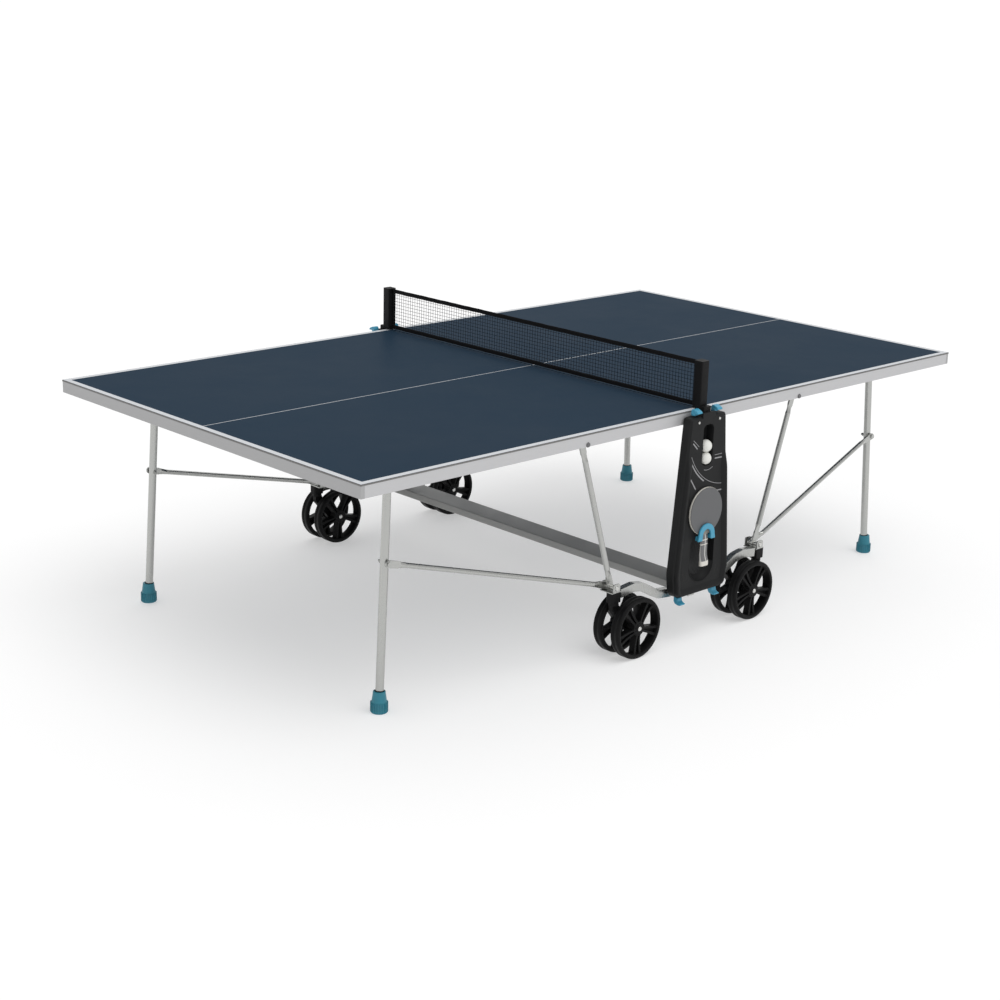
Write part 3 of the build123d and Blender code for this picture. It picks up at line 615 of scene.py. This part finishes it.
for half, sx in halves:
    for side, sy in sides:
        axleX, axleY = sx * axle["x"], sy * axle["y"]
        for place, hand in (("inner", -1), ("outer", 1)):
            mesh = wheelMesh.copy()
            mesh.transform(Matrix.Translation((axleX, sy * (axle["y"] + hand * axle["toWheel"]), axle["z"])))
            name = f"{side}_{half}_{place}"
            keepPiece(f"spoked_wheel_{name}", mesh, "wheelPlastic", f"wheel_{name}",
                      [f"wheel_{name}"])
        form = bmesh.new()
        cheeks = (axleY - slimFork["halfWide"], axleY + slimFork["halfWide"])
        solidBetween(form, *([(sx * x, y, z) for x, z in slimFork["outline"]] for y in cheeks))
        latheRing(form, slimFork["stem"], slimFork["steps"],
                  lambda x, y, z: (sx * slimFork["stemX"] + x, axleY + y, z))
        latheRing(form, bothFaces(slimFork["halfAxle"]), slimFork["steps"],
                  lambda x, y, z: (axleX + x, axleY + z, axle["z"] + y))
        keepPiece(f"slim_fork_{side}_{half}", closeForm(form, "slimFork", 40), "blackPlastic",
                  f"caster_{side}_{half}", [f"caster_{side}_{half}"])
        form = bmesh.new()
        for facing in (-1, 1):
            latheRing(form, hubBolt["profile"], hubBolt["steps"], lambda x, y, z: (
                axleX + x, axleY + facing * (hubBolt["reach"] + z), axle["z"] + y))
        keepPiece(f"hub_bolts_{side}_{half}", closeForm(form, "hubBolts"), "boltSteel",
                  f"caster_{side}_{half}")
print("wheels made")

# feet: tapered, with grip ribs round the lower part
foot = {"x": 1.1703, "y": 0.6048, "steps": 64,
        "profile": [(0.0, 0.0), (0.0235, 0.0), (0.0248, 0.0012), (0.0250, 0.0040), (0.0242, 0.0300),
                    (0.0222, 0.0360), (0.0190, 0.0600), (0.0186, 0.0640), (0.0176, 0.0650), (0.0, 0.0650)]}
collar = {"x": 1.1713, "up": 0.0655, "lean": (-0.0403, -0.0163, 0.735), "steps": 40,
          "profile": [(0.0126, -0.002), (0.0148, -0.002), (0.0150, 0.0006), (0.0143, 0.0012),
                      (0.0126, 0.0012)]}
gripRibs = {"Ribs": 24, "Radius": 0.0254, "Width": 0.0026, "Depth": 0.0020, "Height": 0.029,
            "Middle": 0.0175, "Material": materials["tealPlastic"]}
ribTree, inputs, outputs = startTree("gripRibs", gripRibs)
circle = addNode(ribTree, "GeometryNodeMeshCircle", {"Vertices": inputs["Ribs"], "Radius": inputs["Radius"]})
spot = ribTree.nodes.new("GeometryNodeInputPosition").outputs[0]
facing = addNode(ribTree, "FunctionNodeAlignRotationToVector", {"Vector": spot}, axis="X", pivot_axis="Z")
rib = addNode(ribTree, "GeometryNodeMeshCube",
              {"Size": joinVector(ribTree, inputs["Depth"], inputs["Width"], inputs["Height"])})
ribs = repeatOn(ribTree, circle.outputs[0], rib, facing.outputs[0])
raised = addNode(ribTree, "GeometryNodeTransform",
                 {"Geometry": ribs, "Translation": joinVector(ribTree, z=inputs["Middle"])})
finishTree(ribTree, (raised.outputs[0],), inputs["Material"], outputs)
ribMesh = bakeTree(ribTree, gripRibs)
for half, sx in halves:
    form = bmesh.new()
    collars = bmesh.new()
    ribsForm = bmesh.new()
    for side, sy in sides:
        spotX, spotY = sx * foot["x"], sy * foot["y"]
        latheRing(form, foot["profile"], foot["steps"], lambda x, y, z: (spotX + x, spotY + y, z))
        copy = ribMesh.copy()
        copy.transform(Matrix.Translation((spotX, spotY, 0)))
        ribsForm.from_mesh(copy)
        # dark ring where the leg enters, leaning with the leg
        lean = (Vector(collar["lean"]) * Vector((sx, sy, 1))).normalized()
        entry = Vector((sx * collar["x"], spotY, 0)) + lean * collar["up"]
        tilt = lean.to_track_quat("Z", "Y").to_matrix()
        latheRing(collars, collar["profile"], collar["steps"],
                  lambda x, y, z: entry + tilt @ Vector((x, y, z)))
    keepPiece(f"{half}_ribbed_feet", closeForm(form, "feet"), "tealPlastic", f"{half}_leg",
              [f"{half}_feet"])
    keepPiece(f"{half}_foot_ribs", closeForm(ribsForm, "footRibs"), "tealPlastic", f"{half}_leg")
    keepPiece(f"{half}_foot_collars", closeForm(collars, "footCollars"), "blackPlastic", f"{half}_leg")
print("feet made")

# bats: a blade of five plies, two rubbers and a flared handle
bat = {"middle": 0.434, "wide": 0.0765, "tall": 0.0785, "bladeIn": 0.8060, "bladeOut": 0.8115,
       "rubber": 0.0021, "rubberBottom": 0.369, "handleTop": 0.364, "handleBottom": 0.2535, "steps": 72,
       "bandBack": 0.8039,
       "bands": [(0.2530, 0.2690, 0.0184, 0.8214), (0.322, 0.325, 0.0170, 0.8143),
                 (0.337, 0.3405, 0.0166, 0.8143)]}
grip = {"steps": 14, "back": 0.8041, "front": 0.8212, "halfWide": 0.0182, "waist": 0.0022, "endInset": 0.0012,
        "taper": 0.0072, "taperFrom": 0.14, "taperOver": 0.17, "neck": 0.0042, "neckFrom": 0.82}


def bladeOutline(inset, bottom):
    points = []
    for step in range(bat["steps"]):
        around = 2 * math.pi * step / bat["steps"]
        across = math.sin(around) * (bat["wide"] - inset)
        z = bat["middle"] - math.cos(around) * (bat["tall"] - inset)
        points.append((across, max(z, bottom + 0.004 * (1 - (across / 0.05) ** 2) if bottom else z)))
    return points


def roundedPlate(form, side, outlineAt, layers):
    # layers are (distance from the centre line, inset)
    rings = [[form.verts.new((-side * across, side * y, z)) for across, z in outlineAt(inset)]
             for y, inset in layers]
    skinRings(form, rings)


def gripRing(side, z, halfWide, inward, outward):
    # rounded section of the bat's grip
    middle, halfDeep = (outward + inward) / 2, (outward - inward) / 2
    ring = []
    for step in range(24):
        cos, sin = math.cos(math.pi * step / 12), math.sin(math.pi * step / 12)
        across = math.copysign(abs(cos) ** 0.75, cos) * halfWide
        ring.append((-side * across, side * (middle + math.copysign(abs(sin) ** 0.75, sin) * halfDeep), z))
    return ring


for side, sy in sides:
    form = bmesh.new()
    roundedPlate(form, sy, lambda inset: bladeOutline(inset, 0),
                 [(bat["bladeIn"], 0.0006), (bat["bladeIn"] + 0.0006, 0), (bat["bladeOut"] - 0.0006, 0),
                  (bat["bladeOut"], 0.0006)])
    keepPiece(f"bat_blade_{side}", closeForm(form, "blade"), "batWood", f"bat_{side}",
              [f"bat_{side}"])
    form = bmesh.new()
    for start, end in ((bat["bladeOut"], bat["bladeOut"] + bat["rubber"]),
                       (bat["bladeIn"], bat["bladeIn"] - bat["rubber"])):
        step = math.copysign(0.0005, end - start)
        roundedPlate(form, sy, lambda inset: bladeOutline(inset, bat["rubberBottom"]),
                     [(start, 0.0012), (end - step, 0.0012), (end, 0.0018)])
    keepPiece(f"bat_rubber_{side}", closeForm(form, "rubber"), "batRubber", f"bat_{side}",
              [f"bat_{side}_rubbers"])
    form = bmesh.new()
    rings = []
    for step in range(grip["steps"] + 1):
        share = step / grip["steps"]
        z = bat["handleBottom"] + share * (bat["handleTop"] - bat["handleBottom"])
        halfWide = grip["halfWide"] - grip["waist"] * math.sin(math.pi * min(1.0, share * 1.15) / 2)
        if step == 0:
            halfWide -= grip["endInset"]
        taper = min(1.0, max(0.0, share - grip["taperFrom"]) / grip["taperOver"])
        neck = max(0.0, share - grip["neckFrom"]) / (1 - grip["neckFrom"])
        outward = grip["front"] - grip["taper"] * taper - grip["neck"] * neck
        rings.append(gripRing(sy, z, halfWide, grip["back"], outward))
    solidBetween(form, *rings)
    keepPiece(f"bat_handle_{side}", closeForm(form, "handle", 50), "batGrip", f"bat_{side}")
    # pale cap at the end of the grip and a pale ring at its neck
    form = bmesh.new()
    for low, high, halfWide, outward in bat["bands"]:
        solidBetween(form, *(gripRing(sy, z, halfWide, bat["bandBack"], outward) for z in (low, high)))
    keepPiece(f"bat_bands_{side}", closeForm(form, "bands", 50), "batCap", f"bat_{side}")
print("bats made")

# balls
ball = {"radius": 0.020, "out": 0.0238, "heights": (0.605, 0.6452)}
for side, sy in sides:
    form = bmesh.new()
    for z in ball["heights"]:
        place = Matrix.Translation(onSide(sy, 0, ball["out"], z))
        bmesh.ops.create_icosphere(form, subdivisions=4, radius=ball["radius"], matrix=place)
    keepPiece(f"white_balls_{side}", closeForm(form, "balls"), "ballPlastic", f"balls_{side}",
              [f"balls_{side}"])
print("balls made")


# side panels: printed lines, pocket perforations, painted shade for the vents, and screws
def ribbon(form, side, points, width, out):
    rings = []
    points = [Vector(point) for point in points]
    for i, middle in enumerate(points):
        along = directionAt(points, i)
        aside = Vector((-along.y, along.x)) * width / 2
        rings.append([form.verts.new(onSide(side, spot.x, depth, spot.y))
                      for spot, depth in ((middle - aside, out - 0.0002), (middle + aside, out - 0.0002),
                                          (middle + aside, out + 0.0002), (middle - aside, out + 0.0002))])
    skinRings(form, rings)


def arc(middle, radius, start, end, steps=28):
    return [(middle[0] + radius * math.cos(math.radians(start + (end - start) * i / steps)),
             middle[1] + radius * math.sin(math.radians(start + (end - start) * i / steps)))
            for i in range(steps + 1)]


printedLines = {
    "thin": (0.0017, [arc((0.0956, 0.6969), 0.1863, 203.7, 264), arc((0.003, 0.613), 0.0455, 250, 303),
                      [(-0.070, 0.675), (-0.042, 0.650)], [(0.036, 0.611), (0.071, 0.611)]]),
    "wide": (0.0040, [arc((0.0956, 0.6969), 0.1945, 206, 237), [(-0.071, 0.665), (-0.050, 0.644)],
                      [(0.037, 0.600), (0.071, 0.599)], [(0.058, 0.491), (0.080, 0.490)],
                      [(-0.079, 0.556), (-0.048, 0.512)]]),
}
for side, sy in sides:
    form = bmesh.new()
    for width, lines in printedLines.values():
        for points in lines:
            ribbon(form, sy, points, width, panelFace)
    keepPiece(f"panel_lines_{side}", closeForm(form, "panelLines"), "printedGrey", "chassis")

perforations = {"Columns": 24, "Rows": 30, "Width": 0.100, "Height": 0.125, "Size": 0.0013,
                "Lift": 0.0002, "Material": materials["meshDots"]}
dotTree, inputs, outputs = startTree("perforations", perforations)
grid = addNode(dotTree, "GeometryNodeMeshGrid",
               {"Size X": inputs["Width"], "Size Y": inputs["Height"],
                "Vertices X": inputs["Columns"], "Vertices Y": inputs["Rows"]})
standing = addNode(dotTree, "GeometryNodeTransform",
                   {"Geometry": grid.outputs[0], "Rotation": quarterTurn})
dot = addNode(dotTree, "GeometryNodeMeshCylinder",
              {"Vertices": 8, "Radius": inputs["Size"], "Depth": inputs["Lift"]})
dots = repeatOn(dotTree, standing.outputs[0], dot, quarterTurn)
finishTree(dotTree, (dots,), inputs["Material"], outputs)
pocket = {"out": 0.0101, "z": 0.275}
dotMesh = bakeTree(dotTree, perforations)
for side, sy in sides:
    mesh = dotMesh.copy()
    mesh.transform(Matrix.Translation(onSide(sy, 0, pocket["out"], pocket["z"])))
    keepPiece(f"pocket_perforations_{side}", mesh, None, "chassis")

screwSpots = {"across": 0.049, "z": 0.729, "out": 0.0006}
screws = {"Radius": 0.0044, "Height": 0.0022, "Material": materials["boltSteel"]}
screwTree, inputs, outputs = startTree("screwHeads", screws)
head = addNode(screwTree, "GeometryNodeMeshCylinder",
               {"Vertices": 24, "Side Segments": 2, "Radius": inputs["Radius"], "Depth": inputs["Height"]})
dome = addNode(screwTree, "GeometryNodeMeshUVSphere",
               {"Segments": 24, "Rings": 8, "Radius": inputs["Radius"]})
headTop = mathNode(screwTree, "MULTIPLY", inputs["Height"], 0.5)
flatDome = addNode(screwTree, "GeometryNodeTransform",
                   {"Geometry": dome.outputs[0], "Scale": (1, 1, 0.42),
                    "Translation": joinVector(screwTree, z=headTop)})
heads = [repeatOn(screwTree, inputs["Geometry"], shape, quarterTurn) for shape in (flatDome, head)]
finishTree(screwTree, heads, inputs["Material"], outputs)
for side, sy in sides:
    points = bpy.data.meshes.new("screwPlaces")
    out = panelFace + screwSpots["out"]
    spots = [onSide(sy, hand * screwSpots["across"], out, screwSpots["z"]) for hand in (-1, 1)]
    points.from_pydata(spots, [], [])
    keepPiece(f"panel_screws_{side}", bakeTree(screwTree, screws, points), None, "chassis")

# filler in front of each post's foot, level with the panel's face
filler = {"halfWide": 0.0300, "low": 0.7165, "high": 0.7555, "back": 0.0236, "front": 0.0329}
for side, sy in sides:
    form = bmesh.new()
    corners = [(hand * filler["halfWide"], filler[level])
               for hand, level in ((-1, "low"), (1, "low"), (1, "high"), (-1, "high"))]
    sideBlock(form, sy, corners, filler["back"], filler["front"])
    keepPiece(f"notch_filler_{side}", closeForm(form, "filler"), "panelPlastic", "chassis")

# the vents are near-black strips on the panel face: painted shade standing in for the vent openings
ventShades = {"places": (0.069, 0.084), "height": 0.227, "length": 0.024, "width": 0.0050}
for side, sy in sides:
    form = bmesh.new()
    for place in ventShades["places"]:
        for hand in (-1, 1):
            ribbon(form, sy, [(hand * place, ventShades["height"] - ventShades["length"] / 2),
                              (hand * (place + 0.003), ventShades["height"] + ventShades["length"] / 2)],
                   ventShades["width"], panelFace)
    keepPiece(f"panel_vent_shades_{side}", closeForm(form, "ventShades"), "paintedVentShade", "chassis")

# raised border round the lower part of each panel, fading out upwards
border = {"low": [(0.118, 0.158), (0.128, 0.235)], "top": (0.0935, 0.635), "corner": 0.034,
          "fadeFrom": 0.560, "fadeTo": 0.632, "back": 0.0280, "edge": 0.026, "sunk": 0.0003, "step": 0.008,
          "section": [(0.0030, 0.0), (0.0052, 0.0065), (0.0075, 0.0084), (0.0115, 0.0092), (0.0155, 0.0083),
                      (0.0200, 0.0052), (0.0250, 0.0018), (0.0290, 0.0)]}


def roundedPath(points, radius, steps=10):
    path = [Vector(points[0])]
    for before, corner, after in zip(points, points[1:], points[2:]):
        corner = Vector(corner)
        toBefore = (Vector(before) - corner).normalized()
        toAfter = (Vector(after) - corner).normalized()
        opening = toBefore.angle(toAfter)
        cut = min(radius / math.tan(opening / 2), 0.45 * (Vector(before) - corner).length,
                  0.45 * (Vector(after) - corner).length)
        start, end = corner + toBefore * cut, corner + toAfter * cut
        for step in range(steps + 1):
            share = step / steps
            path.append(start * (1 - share) ** 2 + corner * 2 * share * (1 - share) + end * share ** 2)
    path.append(Vector(points[-1]))
    return path


lowRight, sideRight = border["low"]
corners = [border["top"], sideRight, lowRight]
corners += [(-across, z) for across, z in reversed(corners)]
rim = roundedPath(corners, border["corner"])
fine = []
for start, end in zip(rim, rim[1:]):
    pieces = max(1, int((end - start).length / border["step"]))
    fine += [start.lerp(end, i / pieces) for i in range(pieces)]
fine.append(rim[-1])
for side, sy in sides:
    form = bmesh.new()
    rings = []
    for i, point in enumerate(fine):
        along = directionAt(fine, i)
        inward = Vector((along.y, -along.x))
        fade = min(1.0, max(0.0, (border["fadeTo"] - point.y) / (border["fadeTo"] - border["fadeFrom"])))
        fade = fade * fade * (3 - 2 * fade)
        ring = []
        for inset, rise in border["section"]:
            spot = point + inward * inset
            ground = min(panelFace, border["edge"] + inset) - border["sunk"]
            ring.append(form.verts.new(onSide(sy, spot.x, ground + rise * fade, spot.y)))
        for inset in (border["section"][-1][0], border["section"][0][0]):
            spot = point + inward * inset
            ring.append(form.verts.new(onSide(sy, spot.x, border["back"], spot.y)))
        rings.append(ring)
    skinRings(form, rings)
    keepPiece(f"panel_border_{side}", closeForm(form, "border", 40), "panelPlastic", "chassis")

# round bowl at the bottom of each bat pocket, with a thin lip
bowl = {"radius": 0.058, "middle": 0.254, "halfWide": 0.0585, "bottom": 0.1955, "lip": 0.0013,
        "layers": [(0.0099, 0.020), (0.0115, 0.0175), (0.0150, 0.0120), (0.0200, 0.0070), (0.0260, 0.0030),
                   (0.0327, 0.0)]}


def bowlOutline(inset):
    inner = arc((0, bowl["middle"]), bowl["radius"] - inset, 0, -180)
    return [(-bowl["halfWide"], bowl["middle"]), (-bowl["halfWide"], bowl["bottom"]),
            (bowl["halfWide"], bowl["bottom"]), (bowl["halfWide"], bowl["middle"])] + inner


for side, sy in sides:
    form = bmesh.new()
    roundedPlate(form, sy, bowlOutline, [(panelBack + out, inset) for out, inset in bowl["layers"]])
    keepPiece(f"pocket_bowl_{side}", closeForm(form, "bowl", 50), "panelPlastic", "chassis")
    form = bmesh.new()
    path = [onSide(sy, across, panelFace, z)
            for across, z in arc((0, bowl["middle"]), bowl["radius"], -3, -177)]
    rings = []
    for i, point in enumerate(path):
        aside = directionAt(path, i).cross(Vector((0, 1, 0))).normalized()
        rings.append([form.verts.new(point + (aside * math.cos(math.pi * k / 4)
                                              + Vector((0, sy, 0)) * math.sin(math.pi * k / 4)) * bowl["lip"])
                      for k in range(8)])
    skinRings(form, rings)
    keepPiece(f"pocket_lip_{side}", closeForm(form, "lip", 50), "panelPlastic", "chassis")

# catch levers beside the net posts and release tabs under the panels
handles = {
    "catch_lever": {"across": 0.0475, "length": 0.022, "outline": [
        (0.7760, 0.7490), (0.7760, 0.7640), (0.7795, 0.7695), (0.7870, 0.7705), (0.7950, 0.7670),
        (0.8020, 0.7640), (0.8055, 0.7590), (0.8025, 0.7560), (0.7960, 0.7580), (0.7890, 0.7555),
        (0.7880, 0.7490)]},
    "release_tab": {"across": 0.083, "length": 0.022, "outline": [
        (0.7765, 0.1572), (0.7765, 0.1420), (0.7820, 0.1345), (0.7960, 0.1315), (0.8065, 0.1335),
        (0.8080, 0.1375), (0.8000, 0.1395), (0.7940, 0.1440), (0.7925, 0.1545), (0.7820, 0.1570)]},
}
for half, sx in halves:
    for side, sy in sides:
        for name, handle in handles.items():
            form = bmesh.new()
            ends = [sx * handle["across"] + hand * handle["length"] / 2 for hand in (-1, 1)]
            solidBetween(form, *([(x, sy * y, z) for y, z in handle["outline"]] for x in ends))
            node = f"{name}_{side}_{half}"
            piece = keepPiece(f"moulded_{node}", closeForm(form, name, 35), "bluePlastic", node,
                              [node])
            softenEdges(piece, 3)

# clip: a thick arch over the handle's neck
clip = {"outer": 0.037, "inner": 0.0190, "middle": 0.357, "foot": 0.340, "outStart": 0.0449,
        "outEnd": 0.0515, "outerFlare": 0.004, "innerFlare": 0.002, "overlap": 0.001,
        "stem": [(0.022, 0.340), (0.0345, 0.340), (0.0345, 0.354), (0.022, 0.354)]}
for side, sy in sides:
    form = bmesh.new()
    outerFoot, innerFoot = clip["outer"] + clip["outerFlare"], clip["inner"] + clip["innerFlare"]
    outline = arc((0, clip["middle"]), clip["outer"], 0, 180)
    outline += [(-outerFoot, clip["foot"]), (-innerFoot, clip["foot"])]
    outline += arc((0, clip["middle"]), clip["inner"], 180, 0)
    outline += [(innerFoot, clip["foot"]), (outerFoot, clip["foot"])]
    sideBlock(form, sy, outline, clip["outStart"], clip["outEnd"])
    for hand in (-1, 1):
        stem = [(hand * across, z) for across, z in clip["stem"]]
        sideBlock(form, sy, stem, panelFace - clip["overlap"], clip["outStart"] + clip["overlap"])
    piece = keepPiece(f"bat_arch_{side}", closeForm(form, "clip", 50), "bluePlastic", "chassis",
                      ["bat_clips"])
    softenEdges(piece, 2)
print("side panels dressed")
